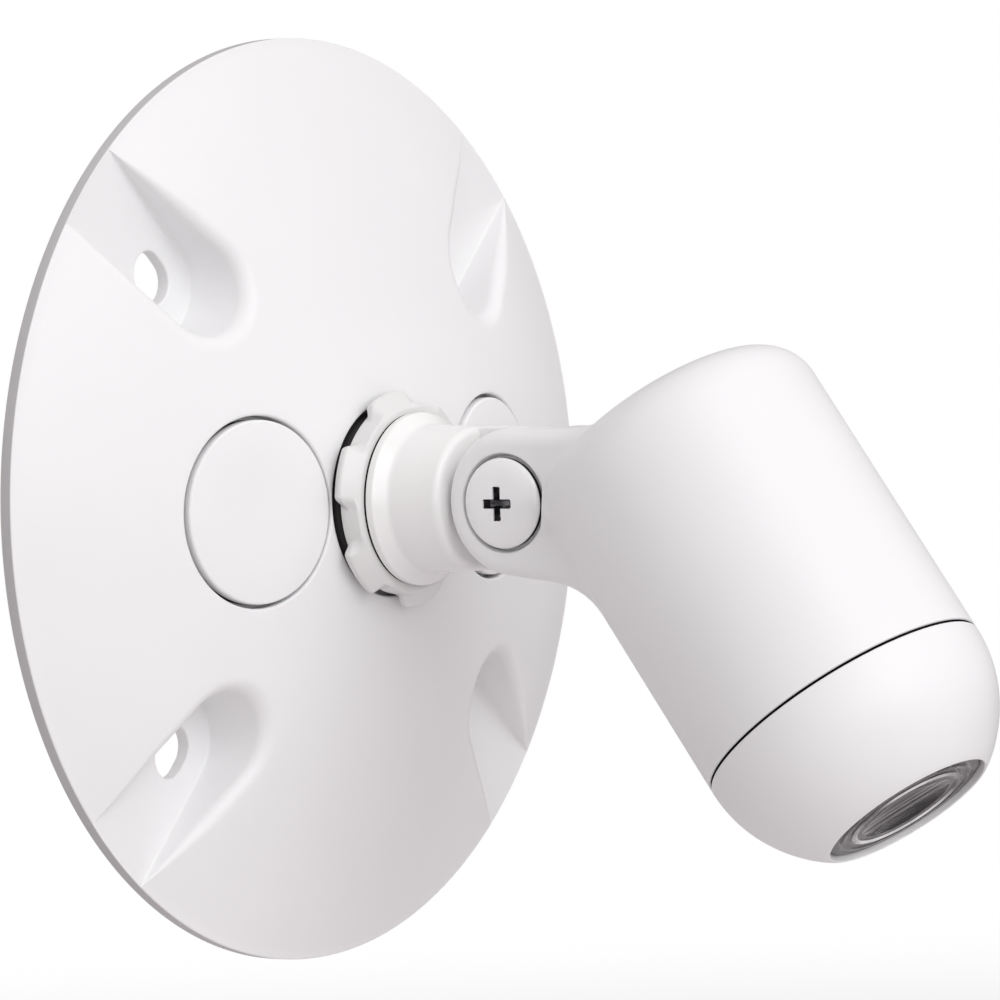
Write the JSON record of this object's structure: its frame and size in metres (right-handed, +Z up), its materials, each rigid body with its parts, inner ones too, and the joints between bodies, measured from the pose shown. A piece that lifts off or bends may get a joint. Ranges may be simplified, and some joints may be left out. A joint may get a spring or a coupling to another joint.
{
  "type": "wall spotlight head",
  "caption": "Wall spot lamp: a domed round canopy plate carries a swivelling threaded stem and a bullet-shaped LED head that tilts on a half-lap knuckle.",
  "frame": {"origin": "centre of the wall plane, on the canopy plate's axis, at the back of the foam gasket", "axes": "+Y points into the wall, -Y out of the wall along the plate's axis, +Z up, +X to the right of someone facing the wall"},
  "size_m": [0.1268, 0.1112, 0.1268],
  "materials": {
    "canopy_white": "satin, fine powder-like grain",
    "head_white": "satin",
    "stem_white": "semi-gloss moulded nylon",
    "screw_white": "gloss paint",
    "rubber_black": "matt",
    "foam_black": "closed-cell foam",
    "plated_steel": "zinc plated",
    "bushing_black": "matt",
    "spacer_nylon": "natural nylon",
    "lens_clear": "clear polished",
    "reflector_silver": "vacuum metallised",
    "led_phosphor": "silicone dome over phosphor",
    "board_white": "white solder mask",
    "pad_blue": "matt silicone",
    "heat_sink_aluminium": "as cast and machined",
    "board_green": "green solder mask",
    "ferrite_grey": "sintered",
    "capacitor_sleeve": "shrink sleeve",
    "chip_black": "moulded epoxy",
    "terminal_green": "moulded",
    "lead_red": "extruded insulation",
    "lead_black": "extruded insulation"
  },
  "bodies": {
    "canopy": {"canopy_plate": "canopy_white", "wall_gasket": "foam_black", "plug_left": "canopy_white", "plug_right": "canopy_white", "plug_seal_left": "rubber_black", "plug_seal_right": "rubber_black", "outlet_seal": "rubber_black"},
    "stem": {"stem": "stem_white", "rear_washer": "plated_steel", "rear_locknut": "stem_white", "wire_bushing": "bushing_black", "knuckle_spacer": "spacer_nylon", "pivot_screw": "screw_white", "pivot_nut": "plated_steel"},
    "locknut": {"front_locknut": "stem_white"},
    "head": {"rear_housing": "head_white", "front_cap": "head_white", "cap_o_ring": "rubber_black", "lens_window": "lens_clear", "lens_gasket": "rubber_black", "reflector": "reflector_silver", "led_emitter": "led_phosphor", "led_board": "board_white", "led_screw_1": "plated_steel", "led_screw_2": "plated_steel", "thermal_pad": "pad_blue", "heat_sink": "heat_sink_aluminium", "driver_board": "board_green", "driver_screw_1": "plated_steel", "driver_screw_2": "plated_steel", "inductor": "ferrite_grey", "capacitor": "capacitor_sleeve", "driver_chip": "chip_black", "terminal_block": "terminal_green", "lead_positive": "lead_red", "lead_negative": "lead_black"}
  },
  "joints": [
    {"name": "stem_swivel", "type": "hinge", "parent": "canopy", "child": "stem", "pos_m": [0, -0.0191, 0], "axis": [0, -1, 0], "range_deg": [-170, 170]},
    {"name": "locknut_turn", "type": "hinge", "parent": "stem", "child": "locknut", "pos_m": [0, -0.0191, 0], "axis": [0, -1, 0], "range_deg": [0, 60]},
    {"name": "head_tilt", "type": "hinge", "parent": "stem", "child": "head", "pos_m": [0, -0.0437, 0], "axis": [1, 0, 0], "range_deg": [-75, 45]}
  ]
}
